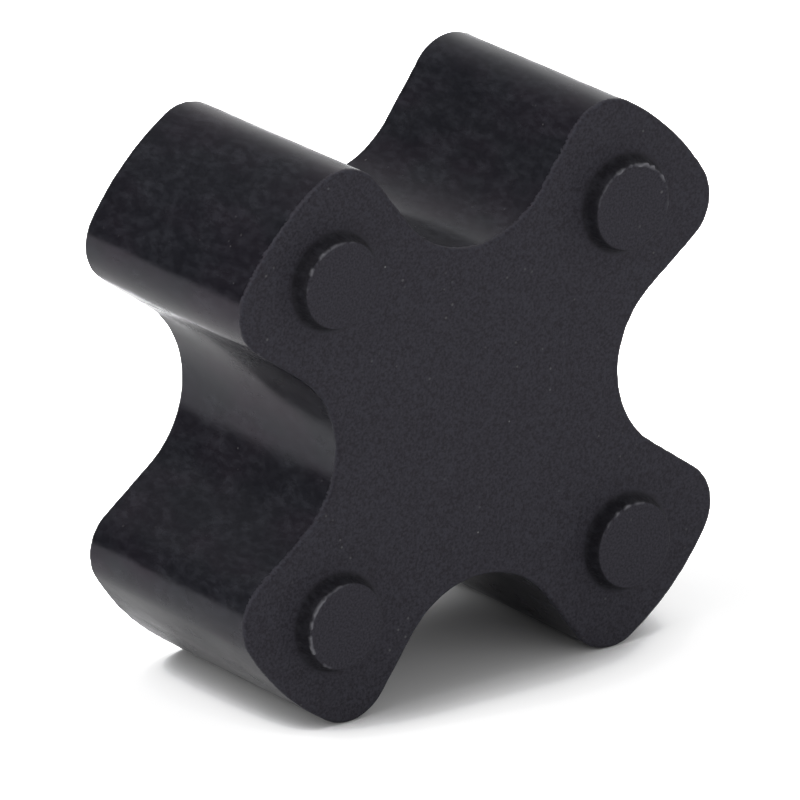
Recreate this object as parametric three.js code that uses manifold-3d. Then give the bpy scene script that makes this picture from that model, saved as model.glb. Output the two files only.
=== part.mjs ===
// Spider of a jaw coupling: the flexible insert that sits between the jaws of
// the two hubs. It is one solid moulding in nitrile rubber, with four legs and
// a spacer nub on both faces of each leg.
//
// Frame: millimetres, +Z up. The origin is the middle of the spider and the
// coupling's axis is Y, with the front face towards -Y. The legs point midway
// between the X and Z axes, so the spider stands on its two lower legs, and the
// gaps that take the hubs' jaws face +X, +Z, -X and -Z.
import * as THREE from 'three';
import * as BufferGeometryUtils from 'three/addons/utils/BufferGeometryUtils.js';
import Module from 'manifold-3d';

// Driving dimensions
const OUTER_DIAMETER = 27.4; // over the ends of opposite legs
const BODY_THICKNESS = 10.6; // between the faces, without the nubs
const CORE_DIAMETER = 13.9; // solid middle, between the bottoms of opposite gaps
const GAP_RADIUS = 4.2; // round bottom of each gap
const LEG_WIDTH = 8.3; // a leg's widest part, across its corners
const LEG_CROWN_RADIUS = 11.3; // a leg's outer end
const LEG_CORNER_RADIUS = 2.0; // from the outer end to the flank
const EDGE_RADIUS = 0.25; // all round both faces
const NUB_PITCH_RADIUS = 10.2; // from the axis to the middle of a nub
const NUB_DIAMETER = 3.8;
const NUB_HEIGHT = 0.7; // each hub stands this far off the body's face
const NUB_ROOT = 1.0; // how far a nub's solid reaches into the body

const LEGS = 4;
const LEG_STEP = (2 * Math.PI) / LEGS;
const FIRST_LEG = LEG_STEP / 2;
const ARC_SEGMENTS = 8; // in each arc of the outline
const EDGE_SEGMENTS = 3;
const NUB_SEGMENTS = 32;
const AXIS = new THREE.Vector2(0, 0);

const rubber = new THREE.MeshStandardMaterial({
  name: 'rubber',
  color: 0x2b2a2e,
  roughness: 0.6,
  metalness: 0,
});

function arcPoints(centre, radius, from, to, clockwise = false) {
  const arc = new THREE.ArcCurve(centre.x, centre.y, radius, from, to, clockwise);
  return arc.getPoints(ARC_SEGMENTS);
}

// One leg and the gap after it, anticlockwise, for a leg along the first axis.
// The flanks are straight lines that touch the corner's arc and the gap's arc,
// so the angle of their normal follows from those two circles.
function legOutline() {
  const cornerOffset = LEG_WIDTH / 2 - LEG_CORNER_RADIUS;
  const crownToCorner = LEG_CROWN_RADIUS - LEG_CORNER_RADIUS;
  const crownAngle = Math.asin(cornerOffset / crownToCorner);
  const crown = new THREE.Vector2(OUTER_DIAMETER / 2 - LEG_CROWN_RADIUS, 0);
  const cornerX = crown.x + crownToCorner * Math.cos(crownAngle);
  const upperCorner = new THREE.Vector2(cornerX, cornerOffset);
  const lowerCorner = new THREE.Vector2(cornerX, -cornerOffset);
  const gap = new THREE.Vector2(CORE_DIAMETER / 2 + GAP_RADIUS, 0);
  gap.rotateAround(AXIS, LEG_STEP / 2);
  const cornerToGap = gap.clone().sub(upperCorner);
  const touching = Math.acos((LEG_CORNER_RADIUS + GAP_RADIUS) / cornerToGap.length());
  const flankAngle = cornerToGap.angle() - touching;
  return [
    ...arcPoints(lowerCorner, LEG_CORNER_RADIUS, -flankAngle, -crownAngle).slice(0, -1),
    ...arcPoints(crown, LEG_CROWN_RADIUS, -crownAngle, crownAngle).slice(0, -1),
    ...arcPoints(upperCorner, LEG_CORNER_RADIUS, crownAngle, flankAngle),
    ...arcPoints(gap, GAP_RADIUS, Math.PI + flankAngle, Math.PI + LEG_STEP - flankAngle, true),
  ];
}

// The moulded body with its small edge radius. The outline lies in X and Z.
function bodyGeometry() {
  const points = [];
  for (let leg = 0; leg < LEGS; leg++) {
    const turn = FIRST_LEG + leg * LEG_STEP;
    points.push(...legOutline().map((point) => point.rotateAround(AXIS, turn)));
  }
  const depth = BODY_THICKNESS - 2 * EDGE_RADIUS;
  const geometry = new THREE.ExtrudeGeometry(new THREE.Shape(points), {
    depth,
    bevelEnabled: true,
    bevelThickness: EDGE_RADIUS,
    bevelSize: EDGE_RADIUS,
    bevelOffset: -EDGE_RADIUS,
    bevelSegments: EDGE_SEGMENTS,
  });
  geometry.translate(0, 0, -depth / 2);
  geometry.rotateX(Math.PI / 2);
  return geometry;
}

// A nub on the face towards side * Y, at the given angle round the axis.
function nubGeometry(side, angle) {
  const radius = NUB_DIAMETER / 2;
  const geometry = new THREE.CylinderGeometry(radius, radius, NUB_HEIGHT + NUB_ROOT, NUB_SEGMENTS);
  const middle = BODY_THICKNESS / 2 + (NUB_HEIGHT - NUB_ROOT) / 2;
  geometry.translate(
    NUB_PITCH_RADIUS * Math.cos(angle),
    side * middle,
    NUB_PITCH_RADIUS * Math.sin(angle),
  );
  return geometry;
}

const wasm = await Module();
wasm.setup();

function toSolid(geometry) {
  geometry.deleteAttribute('normal');
  geometry.deleteAttribute('uv');
  const merged = BufferGeometryUtils.mergeVertices(geometry);
  return new wasm.Manifold(new wasm.Mesh({
    numProp: 3,
    vertProperties: new Float32Array(merged.attributes.position.array),
    triVerts: new Uint32Array(merged.index.array),
  }));
}

function toGeometry(solid) {
  const mesh = solid.getMesh();
  const geometry = new THREE.BufferGeometry();
  geometry.setAttribute('position', new THREE.BufferAttribute(mesh.vertProperties, 3));
  geometry.setIndex(new THREE.BufferAttribute(mesh.triVerts, 1));
  geometry.computeVertexNormals();
  return geometry;
}

function makeSpider() {
  let solid = toSolid(bodyGeometry());
  for (const side of [-1, 1]) {
    for (let leg = 0; leg < LEGS; leg++) {
      solid = solid.add(toSolid(nubGeometry(side, FIRST_LEG + leg * LEG_STEP)));
    }
  }
  const spider = new THREE.Mesh(toGeometry(solid), rubber);
  spider.name = 'spider';
  return spider;
}

const coupling = new THREE.Group();
coupling.add(makeSpider());

export default coupling;
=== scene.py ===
"""Looks of a moulded rubber spider for a jaw coupling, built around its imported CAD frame.

Everything is in metres, +Z up, in the CAD frame: the coupling's axis is Y, the front face
looks towards -Y, and the spider stands on its two lower legs.
"""
import math

import bmesh
import bpy
from mathutils import Matrix, Vector, kdtree, noise
from mathutils.geometry import delaunay_2d_cdt


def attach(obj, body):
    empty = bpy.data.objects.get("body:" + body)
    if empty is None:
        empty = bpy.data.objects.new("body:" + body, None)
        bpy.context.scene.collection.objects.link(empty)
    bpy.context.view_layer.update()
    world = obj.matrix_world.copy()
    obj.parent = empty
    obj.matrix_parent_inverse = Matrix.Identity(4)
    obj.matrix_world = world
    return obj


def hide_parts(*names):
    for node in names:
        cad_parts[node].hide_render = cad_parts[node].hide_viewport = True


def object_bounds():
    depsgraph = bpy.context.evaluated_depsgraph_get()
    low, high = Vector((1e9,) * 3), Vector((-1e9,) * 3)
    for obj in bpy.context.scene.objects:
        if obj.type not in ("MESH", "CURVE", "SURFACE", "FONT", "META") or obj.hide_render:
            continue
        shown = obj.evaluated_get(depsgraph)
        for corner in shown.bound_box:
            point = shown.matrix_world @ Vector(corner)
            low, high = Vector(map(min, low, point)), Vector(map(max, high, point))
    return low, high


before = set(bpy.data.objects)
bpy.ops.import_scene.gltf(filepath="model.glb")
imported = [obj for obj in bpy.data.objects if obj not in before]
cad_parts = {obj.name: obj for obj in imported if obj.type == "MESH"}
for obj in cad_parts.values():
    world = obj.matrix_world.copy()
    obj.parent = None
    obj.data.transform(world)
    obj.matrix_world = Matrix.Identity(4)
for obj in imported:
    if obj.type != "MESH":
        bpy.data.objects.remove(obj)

MM = 0.001
CAD_LOW, CAD_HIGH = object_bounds()

# Dimensions of the moulding. The CAD box gives the rest.
OUTER_RADIUS = 13.7 * MM
CORE_RADIUS = 6.95 * MM
GAP_RADIUS = 4.2 * MM
LEG_HALF_WIDTH = 4.15 * MM
LEG_CROWN_RADIUS = 11.3 * MM
LEG_CORNER_RADIUS = 2.0 * MM
EDGE_RADIUS = 0.12 * MM
DRAFT = 0.05 * MM  # the outline is this much larger at the front face, smaller at the back
NUB_PITCH_RADIUS = 10.2 * MM
NUB_RADIUS = 1.9 * MM
NUB_HEIGHT = 0.7 * MM
NUB_TAPER = 0.07 * MM  # the nub is this much slimmer at its end, on the radius
NUB_FOOT_RADIUS = 0.38 * MM
HALF_THICKNESS = CAD_HIGH.y - NUB_HEIGHT

# Unevenness of the rubber: how far it strays, and over what length
EDGE_NICK = 0.018 * MM
EDGE_NICK_LENGTH = 0.4 * MM
EDGE_NEAR = 2 * EDGE_NICK  # beyond the rounded edge the nicks fade out over these two distances
EDGE_FAR = 8 * EDGE_NICK
SIDE_WAVE = 0.012 * MM
SIDE_WAVE_LENGTH = 2.4 * MM
FLASH_HEIGHT = 0.07 * MM
FLASH_WIDTH = 0.12 * MM
FLASH_LENGTH = 0.42 * MM
FLASH_LEAN = 0.2 * MM
FLASH_SHARE = 0.62  # the usual height of the flash, as a share of the full height
FLASH_CONTRAST = 1.2  # how strongly noise varies that share
FLASH_END = 1.4  # flash thins out over one half length of its stretch, and ends this many out

LEGS = 4
LEG_STEP = math.tau / LEGS
FIRST_LEG = LEG_STEP / 2

# Fineness of the mesh
OUTLINE_STEP = 0.11 * MM
SIDE_STEP = 0.45 * MM
FACE_STEP = 0.45 * MM
FACE_CLEARANCE = 0.6 * FACE_STEP  # between the face's grid and the rings of points round it
SAME_POINT = 1e-9  # points closer than this are one point to the triangulation
INSIDE_LOOPS = 1  # the triangulation's way to keep only what is inside a loop
EDGE_STEPS = 3
NUB_FOOT_STEPS = 7
NUB_STEPS = 180

# The moulding flash on each nub's rim, by leg: the middle of its stretch and half the
# stretch's length, in degrees
NUB_FLASH = ((75, 80), (130, 50), (170, 75), (110, 40))
# Across the rim: how far inwards and how far down, in flash widths, and the share of the flash
FLASH_PROFILE = ((0, 1, 0), (0.2, 0.2, 0.5), (0.5, 0, 1), (1, 0, 0.6), (1.6, 0, 0))
FLASH_INSIDE = 2.5 * FLASH_WIDTH  # from here inwards the nub's end is plain

# Rubber: its marks from broad to fine, each the length, detail and roughness of a noise
PATCHES = (2.5 * MM, 2, 0.5)
MOTTLE = (0.9 * MM, 4, 0.6)
BLOTCHES = (0.28 * MM, 3, 0.6)
GRAIN = (0.1 * MM, 2, 0.6)
DRAWN_OUT = (1, 0.5, 1)  # the marks are longer along the axis, the way the part left its mould

# Rubber: noise seldom leaves the middle of 0 to 1, so marks fade in between such values
MARK_FADE = (0.3, 0.7)
COLOUR_FADE = (0.35, 0.65)
PATCHES_FADE = (0.42, 0.58)
BLOTCHES_FADE = (0.42, 0.62)
CRUMBS_FADE = (0.5, 0.62)
FLASH_FADE = (0.1, 0.9)

# Rubber: colours of the polished sides and of the matt faces, and of what lies on them
SIDE_COLOUR = (0.0042, 0.0042, 0.0066, 1)
SIDE_BLOOM = (0.015, 0.0155, 0.02, 1)
BLOOM_LEAST = 0.3  # the bloom between its clouds, as a share
FACE_DARK = (0.005, 0.005, 0.0065, 1)
FACE_LIGHT = (0.032, 0.033, 0.041, 1)
DUST = (0.16, 0.16, 0.16, 1)
# Flash on the nubs' rims: partly its own lighter grey, partly a painted highlight where the rims
# catch light.
FLASH_AND_RIM_HIGHLIGHT_COLOUR = (0.15, 0.15, 0.165, 1)

# Rubber: tint of its reflections, which turns from one to the other in patches
SHEEN_GREEN = (0.83, 0.84, 0.97, 1)
SHEEN_PURPLE = (0.95, 0.79, 1, 1)
SHEEN_MATT = 0.6  # how far the matt faces are from the first to the second
SHADED_CORNER_SHEEN = (0.68, 0.64, 0.7, 1)  # painted shade: the reflections are tinted darker in the corner round each nub

# Rubber: its skin
MATT_STRAY = 0.13 * MM  # the front face's matt skin runs up to twice this far over its edge
# Where the nubs' walls and foot fillets are darkened as painted shade:
# Cosines of the slopes where a nub's foot begins to turn into its wall, and where it has
NUB_WALL_LEVELS = (0.995, 0.72)
NUB_WALL_START = 0.01 * MM  # how far above the face a nub's wall counts in full
SIDE_ROUGHNESS = (0.19, 0.3)
FACE_ROUGHNESS = (0.6, 0.85)
SPECULAR_LEVEL = 0.38
SWELL_DEPTH = 0.03 * MM
DIMPLE_DEPTH = 0.006 * MM
GRIT_DEPTH = 0.008 * MM

# Dust: a cell's length, the share of the cells with a speck, and the largest speck's radius
# in cell lengths
CRUMBS = (0.4 * MM, 0.4, 0.2)
SPECKS = (1.5 * MM, 0.14, 0.055)
CRUMBS_MOST = 0.35  # how much a crumb covers where the crumbs are thickest
SPECK_SMALLEST = 0.4  # radius of the smallest speck, and width of a soft edge, as shares of
SPECK_BLUR = 0.3  # the largest speck's radius

FLOOR_HALF = 3
FLOOR_COLOUR = (0.87, 0.87, 0.87, 1)
FLOOR_ROUGHNESS = 0.9

# Glows round the studio: azimuth clockwise from +Y, elevation, spread in degrees, and strength
GLOWS = {
    "key_left": (298, 52, 13.5, 7.5),
    "side_left": (278, 25, 24, 2.5),
    "front": (195, 28, 18, 1.3),
    "front_right": (145, 15, 28, 1.3),
    "high_right": (88, 46, 26, 1.3),
    "overhead": (80, 80, 30, 0.3),
    "back_right_high": (50, 60, 18, 1.2),
    "back_right": (60, 28, 25, 0.65),
    "back_right_low": (45, 8, 22, 0.75),
    "back_high": (5, 54, 22, 0.42),
}
STUDIO_DARK = 0.02

# Scene brightness and the brightness shown: the lit floor goes to white, and what is darker
# than 0.26 stays as it is
TONE_CURVE = (
    (0, 0), (0.1, 0.1), (0.26, 0.26), (0.36, 0.51), (0.43, 0.81), (0.5, 0.93), (0.55, 1), (1, 1),
)
COMBINED = 3  # the tone curve for all three colours together

# The camera, its angles in degrees
CAMERA_AZIMUTH = -36.83
CAMERA_ELEVATION = 20.79
CAMERA_ROLL = -0.5
CAMERA_DISTANCE = 0.82
CAMERA_LENS = 924.3  # millimetres, as the sensor's width is
CAMERA_SENSOR = 36
CAMERA_AIM = Vector((0.045, -1.02)) * MM  # how far right of and above the middle it points


def polar(radius, angle):
    return Vector((radius * math.cos(angle), radius * math.sin(angle)))


def clamp(value):
    return min(1, max(0, value))


def fractal(place, octaves):
    """Noise round 0 in octaves, each half as long and half as strong as the one before."""
    return noise.fractal(place, 1, 2, octaves)


def arc(centre, radius, start, end, outward=1):
    """Points and outward normals along an arc, leaving out its last point."""
    steps = max(2, round(abs(end - start) * radius / OUTLINE_STEP))
    found = []
    for i in range(steps):
        angle = start + (end - start) * i / steps
        found.append((centre + polar(radius, angle), polar(outward, angle)))
    return found


def straight(start, end, normal):
    """Points and normals along a flank, leaving out its last point."""
    steps = max(2, round((end - start).length / OUTLINE_STEP))
    return [(start.lerp(end, i / steps), normal) for i in range(steps)]


def leg_outline():
    """One leg along the first axis and the gap after it, anticlockwise, as points and normals."""
    offset = LEG_HALF_WIDTH - LEG_CORNER_RADIUS
    reach = LEG_CROWN_RADIUS - LEG_CORNER_RADIUS
    crown_angle = math.asin(offset / reach)
    crown = Vector((OUTER_RADIUS - LEG_CROWN_RADIUS, 0))
    upper = crown + polar(reach, crown_angle)
    lower = Vector((upper.x, -upper.y))
    gap = polar(CORE_RADIUS + GAP_RADIUS, LEG_STEP / 2)
    between = gap - upper
    touching = math.acos((LEG_CORNER_RADIUS + GAP_RADIUS) / between.length)
    flank = math.atan2(between.y, between.x) - touching
    next_flank = LEG_STEP - flank
    next_lower = Matrix.Rotation(LEG_STEP, 2) @ lower
    return [
        *arc(lower, LEG_CORNER_RADIUS, -flank, -crown_angle),
        *arc(crown, LEG_CROWN_RADIUS, -crown_angle, crown_angle),
        *arc(upper, LEG_CORNER_RADIUS, crown_angle, flank),
        *straight(
            upper + polar(LEG_CORNER_RADIUS, flank),
            gap - polar(GAP_RADIUS, flank),
            polar(1, flank),
        ),
        *arc(gap, GAP_RADIUS, math.pi + flank, math.pi + next_flank, outward=-1),
        *straight(
            gap - polar(GAP_RADIUS, next_flank),
            next_lower + polar(LEG_CORNER_RADIUS, next_flank),
            polar(1, next_flank),
        ),
    ]


def whole_outline():
    """The outline of all the legs and gaps, as points and normals."""
    found = []
    for leg in range(LEGS):
        turn = Matrix.Rotation(FIRST_LEG + leg * LEG_STEP, 2)
        found += [(turn @ point, turn @ normal) for point, normal in leg_outline()]
    return found


def edge_profile():
    """(depth behind the face, offset along the outline's normal, share of the nicks) of an edge."""
    rows = [(0, -EDGE_RADIUS - EDGE_FAR, 0), (0, -EDGE_RADIUS - EDGE_NEAR, 0.3)]
    for i in range(EDGE_STEPS + 1):
        angle = math.pi / 2 * i / EDGE_STEPS
        depth = EDGE_RADIUS * (1 - math.cos(angle))
        rows.append((depth, EDGE_RADIUS * (math.sin(angle) - 1), 1))
    rows.append((EDGE_RADIUS + EDGE_NEAR, 0, 0.6))
    rows.append((EDGE_RADIUS + EDGE_FAR, 0, 0.15))
    return rows


def side_profile():
    """(y, offset, share of the nicks, share of the waves) from the front face to the back face."""
    front = [(depth - HALF_THICKNESS, offset, nick, 0) for depth, offset, nick in edge_profile()]
    back = [(-y, offset, nick, wave) for y, offset, nick, wave in reversed(front)]
    y_front = front[-1][0]
    steps = round(2 * -y_front / SIDE_STEP)
    middle = [(y_front * (1 - 2 * i / steps), 0, 0, 1) for i in range(1, steps)]
    return [
        (y, offset - DRAFT * y / HALF_THICKNESS, nick, wave)
        for y, offset, nick, wave in front + middle + back
    ]


def add_ring(bm, points):
    return [bm.verts.new(point) for point in points]


def bridge(bm, ring, following):
    """Faces between two rings with as many points."""
    count = len(ring)
    for i in range(count):
        j = (i + 1) % count
        bm.faces.new((ring[i], ring[j], following[j], following[i]))


def add_side_ring(bm, outline, y, offset, nick, wave):
    """A ring round the side, with the edge's nicks and the side's slow waves."""
    points = []
    for point, normal in outline:
        place = Vector((point.x, math.copysign(HALF_THICKNESS, y), point.y)) / EDGE_NICK_LENGTH
        slow = Vector((point.x, y, point.y)) / SIDE_WAVE_LENGTH
        out = offset + nick * EDGE_NICK * fractal(place, 2)
        out += wave * SIDE_WAVE * noise.noise(slow)
        moved = point + normal * out
        points.append((moved.x, y, moved.y))
    return add_ring(bm, points)


def nub_centres():
    return [polar(NUB_PITCH_RADIUS, FIRST_LEG + leg * LEG_STEP) for leg in range(LEGS)]


def nub_flash(leg, side, angle):
    """How much flash stands on a nub's rim, from 0 to 1, and how far out it leans."""
    middle, reach = (math.radians(degrees) for degrees in NUB_FLASH[leg])
    away = abs(math.remainder(angle - middle, math.tau))
    near = clamp(FLASH_END - away / reach)
    along = polar(NUB_RADIUS / FLASH_LENGTH, angle)
    place = Vector((along.x, along.y, 7 * leg + 31 * side))  # so that no two nubs are alike
    amount = near * clamp(FLASH_SHARE + FLASH_CONTRAST * fractal(place, 4))
    return amount, FLASH_LEAN * amount * noise.noise(2 * place)


def nub_profile():
    """(radius, height, share of the flash) from the end of the foot's fillet to near the middle."""
    rim = NUB_RADIUS - NUB_TAPER
    rows = []
    for i in range(1, NUB_FOOT_STEPS + 1):
        angle = math.pi / 2 * i / NUB_FOOT_STEPS
        radius = NUB_RADIUS + NUB_FOOT_RADIUS * (1 - math.sin(angle))
        rows.append((radius, NUB_FOOT_RADIUS * (1 - math.cos(angle)), 0))
    for inwards, down, share in FLASH_PROFILE:
        rows.append((rim - inwards * FLASH_WIDTH, NUB_HEIGHT - down * FLASH_WIDTH, share))
    inner = rim - FLASH_INSIDE
    steps = round(inner / FACE_STEP)
    rows += [(inner * (1 - i / steps), NUB_HEIGHT, 0) for i in range(steps)]
    return rows


def add_nub(bm, flash_layer, side, leg, foot):
    """A spacer nub that grows out of the ring foot, on the face towards side * Y."""
    centre = nub_centres()[leg]
    ring = foot
    for radius, height, share in nub_profile():
        following = []
        for i in range(NUB_STEPS):
            angle = math.tau * i / NUB_STEPS
            amount, lean = nub_flash(leg, side, angle)
            flash = share * amount
            point = centre + polar(radius + share * lean, angle)
            vert = bm.verts.new((
                point.x,
                side * (HALF_THICKNESS + height + FLASH_HEIGHT * flash),
                point.y,
            ))
            vert[flash_layer] = flash
            following.append(vert)
        bridge(bm, ring, following)
        ring = following
    top = bm.verts.new((centre.x, side * (HALF_THICKNESS + NUB_HEIGHT), centre.y))
    for i in range(NUB_STEPS):
        bm.faces.new((ring[i], ring[(i + 1) % NUB_STEPS], top))


def grid_points(taken):
    """Points of a triangular grid over the face that keep clear of the points already taken."""
    near = kdtree.KDTree(len(taken))
    for i, point in enumerate(taken):
        near.insert((point.x, point.y, 0), i)
    near.balance()
    row_height = FACE_STEP * math.sqrt(3) / 2
    reach = math.ceil(OUTER_RADIUS / row_height)
    found = []
    for row in range(-reach, reach + 1):
        for column in range(-reach, reach + 1):
            point = Vector(((column + 0.5 * (row % 2)) * FACE_STEP, row * row_height))
            if near.find((point.x, point.y, 0))[2] > FACE_CLEARANCE:
                found.append(point)
    return found


def add_face(bm, flash_layer, side, border):
    """The face towards side * Y, inside the ring border, with its nubs."""
    y = side * HALF_THICKNESS
    flat = [Vector((vert.co.x, vert.co.z)) for vert in border]
    known = list(border)
    loops = [list(range(len(border)))]
    feet = []
    for centre in nub_centres():
        circle = [
            centre + polar(NUB_RADIUS + NUB_FOOT_RADIUS, math.tau * i / NUB_STEPS)
            for i in range(NUB_STEPS)
        ]
        foot = add_ring(bm, [(point.x, y, point.y) for point in circle])
        loops.append(list(range(len(flat), len(flat) + NUB_STEPS)))
        flat += circle
        known += foot
        feet.append(foot)
    flat += grid_points(flat)
    placed, _, triangles, from_points, _, from_loops = delaunay_2d_cdt(
        flat, [], loops, INSIDE_LOOPS, SAME_POINT
    )
    verts = {}
    for triangle, inside in zip(triangles, from_loops):
        if any(loop > 0 for loop in inside):
            continue
        for i in triangle:
            if i in verts:
                continue
            sources = [k for k in from_points[i] if k < len(known)]
            if sources:
                verts[i] = known[sources[0]]
            else:
                verts[i] = bm.verts.new((placed[i].x, y, placed[i].y))
        bm.faces.new([verts[i] for i in triangle])
    for leg, foot in enumerate(feet):
        add_nub(bm, flash_layer, side, leg, foot)


def build_spider():
    """The whole moulding as one closed mesh."""
    bm = bmesh.new()
    flash_layer = bm.verts.layers.float.new("flash")
    outline = whole_outline()
    rings = [add_side_ring(bm, outline, *row) for row in side_profile()]
    for ring, following in zip(rings, rings[1:]):
        bridge(bm, ring, following)
    add_face(bm, flash_layer, -1, rings[0])
    add_face(bm, flash_layer, 1, rings[-1])
    bmesh.ops.recalc_face_normals(bm, faces=bm.faces)
    for face in bm.faces:
        face.smooth = True
    mesh = bpy.data.meshes.new("spider_moulding")
    bm.to_mesh(mesh)
    bm.free()
    piece = bpy.data.objects.new("spider_moulding", mesh)
    bpy.context.scene.collection.objects.link(piece)
    return piece


class Nodes:
    """Short ways to add and link shader nodes in one tree."""

    def __init__(self, tree):
        self.tree = tree

    def add(self, kind, inputs, **settings):
        """Add a node. An input that is a socket is linked, and any other value is set."""
        made = self.tree.nodes.new(kind)
        for name, value in settings.items():
            setattr(made, name, value)
        for name, value in inputs.items():
            if isinstance(value, bpy.types.NodeSocket):
                self.tree.links.new(value, made.inputs[name])
            else:
                made.inputs[name].default_value = value
        return made

    def link(self, output, target):
        self.tree.links.new(output, target)

    def noise(self, place, length, detail, roughness):
        """Noise from 0 to 1 whose features are about this long."""
        inputs = {"Vector": place, "Scale": 1 / length, "Detail": detail, "Roughness": roughness}
        return self.add("ShaderNodeTexNoise", inputs).outputs["Fac"]

    def part(self, vector, axis):
        return self.add("ShaderNodeSeparateXYZ", {"Vector": vector}).outputs[axis]

    def ramp(self, value, low, high, to_low=0, to_high=1):
        """A straight ramp from to_low where value is low to to_high where it is high."""
        inputs = {
            "Value": value,
            "From Min": low,
            "From Max": high,
            "To Min": to_low,
            "To Max": to_high,
        }
        return self.add("ShaderNodeMapRange", inputs).outputs["Result"]

    def mix(self, factor, first, second):
        inputs = {"Factor": factor, 6: first, 7: second}
        return self.add("ShaderNodeMix", inputs, data_type="RGBA").outputs[2]

    def mix_float(self, factor, first, second):
        inputs = {"Factor": factor, 2: first, 3: second}
        return self.add("ShaderNodeMix", inputs, data_type="FLOAT").outputs[0]

    def bump(self, height, distance, **normal):
        inputs = {"Height": height, "Distance": distance, "Strength": 1, **normal}
        return self.add("ShaderNodeBump", inputs).outputs["Normal"]

    def math(self, operation, first, second):
        return self.add("ShaderNodeMath", {0: first, 1: second}, operation=operation).outputs[0]


def dust(nodes, place, length, share, radius):
    """Specks in some of the cells, from 0 to 1, with a soft edge."""
    cells = nodes.add("ShaderNodeTexVoronoi", {"Vector": place, "Scale": 1 / length})
    split = nodes.add("ShaderNodeSeparateColor", {"Color": cells.outputs["Color"]})
    size = nodes.ramp(split.outputs["Green"], 0, 1, SPECK_SMALLEST * radius, radius)
    chosen = nodes.ramp(split.outputs["Red"], 1 - share, 1 - share + 0.001)
    inside = nodes.math("SUBTRACT", size, cells.outputs["Distance"])
    return nodes.math("MULTIPLY", nodes.ramp(inside, 0, SPECK_BLUR * radius), chosen)


def rubber_marks(nodes, place):
    """The noises for patches, mottle, blotches and grain."""
    inputs = {0: place, 1: DRAWN_OUT}
    drawn = nodes.add("ShaderNodeVectorMath", inputs, operation="MULTIPLY").outputs[0]
    return [nodes.noise(drawn, *mark) for mark in (PATCHES, MOTTLE, BLOTCHES, GRAIN)]


def matt_skin(nodes, along, depth, mottle, grain):
    """Where the skin is matt: on both faces, and raggedly over the front face's edge."""
    matt_edge = HALF_THICKNESS - EDGE_RADIUS
    strays = [nodes.ramp(mark, *MARK_FADE, 0, MATT_STRAY) for mark in (mottle, grain)]
    reach = nodes.math("SUBTRACT", nodes.math("ADD", *strays), along)
    front = nodes.ramp(reach, matt_edge, matt_edge + MATT_STRAY)
    return nodes.math("MAXIMUM", front, nodes.ramp(depth, matt_edge, HALF_THICKNESS))


def nub_wall_shade_mask(nodes, normal, depth):
    """Where the surface is the wall of a nub and its foot's fillet, darkened there as painted
    shade.
    """
    level = nodes.math("ABSOLUTE", nodes.part(normal, "Y"), 0)
    upright = nodes.ramp(level, *NUB_WALL_LEVELS)
    on_nub = nodes.ramp(depth, HALF_THICKNESS, HALF_THICKNESS + NUB_WALL_START)
    return nodes.math("MULTIPLY", upright, on_nub)


def rubber_colour(nodes, place, frosted_less_nub_shade, patches, mottle, blotches, grain):
    """Bloom on the sides, grain on the faces, painted shade on nub walls, dust, and flash with a
    painted highlight.
    """
    clouds = nodes.ramp(mottle, *COLOUR_FADE, BLOOM_LEAST)
    bloom = nodes.math("MULTIPLY", clouds, nodes.ramp(blotches, *BLOTCHES_FADE))
    side = nodes.mix(bloom, SIDE_COLOUR, SIDE_BLOOM)
    face = nodes.mix(nodes.ramp(grain, *COLOUR_FADE), FACE_DARK, FACE_LIGHT)
    colour = nodes.mix(frosted_less_nub_shade, side, face)
    clustered = nodes.ramp(patches, *CRUMBS_FADE, 0, CRUMBS_MOST)
    crumbs = nodes.math("MULTIPLY", dust(nodes, place, *CRUMBS), clustered)
    specks = dust(nodes, place, *SPECKS)
    colour = nodes.mix(nodes.math("MAXIMUM", crumbs, specks), colour, DUST)
    flash = nodes.add("ShaderNodeAttribute", {}, attribute_name="flash").outputs["Fac"]
    # The flash is lightened, partly as a painted highlight on the nubs' rims.
    return nodes.mix(nodes.ramp(flash, *FLASH_FADE), colour, FLASH_AND_RIM_HIGHLIGHT_COLOUR)


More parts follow.
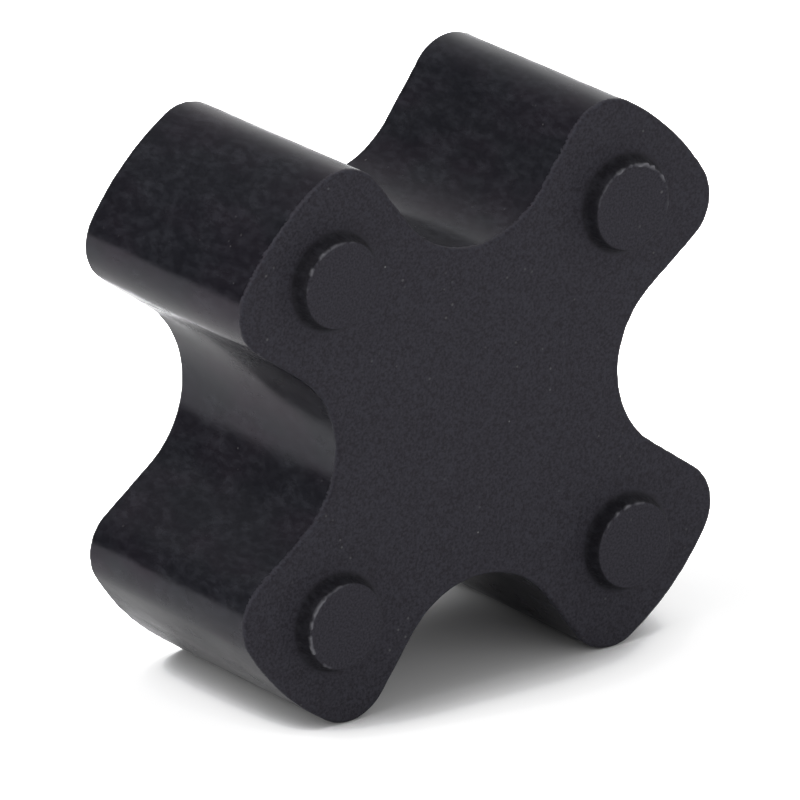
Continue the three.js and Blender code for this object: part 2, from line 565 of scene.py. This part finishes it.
def rubber_material():
    """Black rubber: polished sides, matt faces, and painted shade darkening the corners round the
    nubs.
    """
    material = bpy.data.materials.new("nitrile_rubber")
    material.use_nodes = True
    shader = material.node_tree.nodes["Principled BSDF"]
    nodes = Nodes(material.node_tree)
    coordinates = nodes.add("ShaderNodeTexCoord", {}).outputs
    place = coordinates["Object"]
    patches, mottle, blotches, grain = rubber_marks(nodes, place)

    along = nodes.part(place, "Y")
    depth = nodes.math("ABSOLUTE", along, 0)
    matt = matt_skin(nodes, along, depth, mottle, grain)
    nub_wall_shade = nub_wall_shade_mask(nodes, coordinates["Normal"], depth)
    # Painted shade: the nubs' walls and foot fillets take the sides' dark colour instead of the
    # face's.
    frosted_less_nub_shade = nodes.math("MULTIPLY", matt, nodes.ramp(nub_wall_shade, 0, 1, 1, 0))
    colour = rubber_colour(nodes, place, frosted_less_nub_shade, patches, mottle, blotches, grain)
    nodes.link(colour, shader.inputs["Base Color"])

    side_roughness = nodes.ramp(mottle, *MARK_FADE, *SIDE_ROUGHNESS)
    face_roughness = nodes.ramp(grain, *MARK_FADE, *FACE_ROUGHNESS)
    roughness = nodes.mix_float(matt, side_roughness, face_roughness)
    nodes.link(roughness, shader.inputs["Roughness"])

    shader.inputs["Specular IOR Level"].default_value = SPECULAR_LEVEL
    tone = nodes.mix_float(matt, nodes.ramp(patches, *PATCHES_FADE), SHEEN_MATT)
    sheen = nodes.mix(tone, SHEEN_GREEN, SHEEN_PURPLE)
    # Painted shade: the nubs' walls and foot fillets reflect with a darker tint.
    nodes.link(nodes.mix(nub_wall_shade, sheen, SHADED_CORNER_SHEEN), shader.inputs["Specular Tint"])

    swells = nodes.bump(patches, SWELL_DEPTH)
    dimples = nodes.bump(mottle, DIMPLE_DEPTH, Normal=swells)
    grit = nodes.bump(nodes.math("MULTIPLY", grain, matt), GRIT_DEPTH, Normal=dimples)
    nodes.link(grit, shader.inputs["Normal"])
    return material


def build_floor(height):
    mesh = bpy.data.meshes.new("floor")
    ways = ((-1, -1), (1, -1), (1, 1), (-1, 1))
    corners = [(x * FLOOR_HALF, y * FLOOR_HALF, height) for x, y in ways]
    mesh.from_pydata(corners, [], [(0, 1, 2, 3)])
    floor = bpy.data.objects.new("floor", mesh)
    bpy.context.scene.collection.objects.link(floor)
    material = bpy.data.materials.new("white_floor")
    material.use_nodes = True
    shader = material.node_tree.nodes["Principled BSDF"]
    shader.inputs["Base Color"].default_value = FLOOR_COLOUR
    shader.inputs["Roughness"].default_value = FLOOR_ROUGHNESS
    shader.inputs["Specular IOR Level"].default_value = 0.0
    mesh.materials.append(material)


def direction(azimuth, elevation):
    """Unit vector, from degrees."""
    turn, rise = math.radians(azimuth), math.radians(elevation)
    return Vector((
        math.sin(turn) * math.cos(rise),
        math.cos(turn) * math.cos(rise),
        math.sin(rise),
    ))


def build_world():
    """A dark studio with soft glows round it."""
    world = bpy.data.worlds.new("studio")
    bpy.context.scene.world = world
    world.use_nodes = True
    nodes = Nodes(world.node_tree)
    looking = nodes.add("ShaderNodeTexCoord", {}).outputs["Generated"]
    total = STUDIO_DARK
    for azimuth, elevation, spread, strength in GLOWS.values():
        inputs = {0: looking, 1: direction(azimuth, elevation)}
        near = nodes.add("ShaderNodeVectorMath", inputs, operation="DOT_PRODUCT").outputs["Value"]
        sharpness = 1 / (1 - math.cos(math.radians(spread)))
        fall = nodes.math("MULTIPLY", nodes.math("SUBTRACT", near, 1), sharpness)
        glow = nodes.math("MULTIPLY", nodes.math("EXPONENT", fall, 0), strength)
        total = nodes.math("ADD", glow, total)
    nodes.link(total, nodes.tree.nodes["Background"].inputs["Color"])


def set_tone():
    """Show the scene through the tone curve, as an over-exposed studio picture."""
    settings = bpy.context.scene.view_settings
    settings.view_transform = "Standard"
    settings.use_curve_mapping = True
    curve = settings.curve_mapping.curves[COMBINED]
    curve.points[-1].location = TONE_CURVE[-1]
    for place in TONE_CURVE[1:-1]:
        curve.points.new(*place)
    settings.curve_mapping.update()


def build_camera():
    back = direction(180 - CAMERA_AZIMUTH, CAMERA_ELEVATION)
    data = bpy.data.cameras.new("camera")
    data.sensor_width = CAMERA_SENSOR
    data.lens = CAMERA_LENS
    camera = bpy.data.objects.new("camera", data)
    roll = Matrix.Rotation(math.radians(CAMERA_ROLL), 3, "Z")
    turn = back.to_track_quat("Z", "Y").to_matrix() @ roll
    right, up = turn.col[0], turn.col[1]
    target = CAMERA_AIM.x * right + CAMERA_AIM.y * up
    camera.location = target + back * CAMERA_DISTANCE
    camera.rotation_euler = turn.to_euler()
    bpy.context.scene.collection.objects.link(camera)
    bpy.context.scene.camera = camera


spider = build_spider()
spider.data.materials.append(rubber_material())
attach(spider, "root")
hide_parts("spider")

build_camera()
build_world()
visual_low, visual_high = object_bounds()
build_floor(visual_low.z)
set_tone()
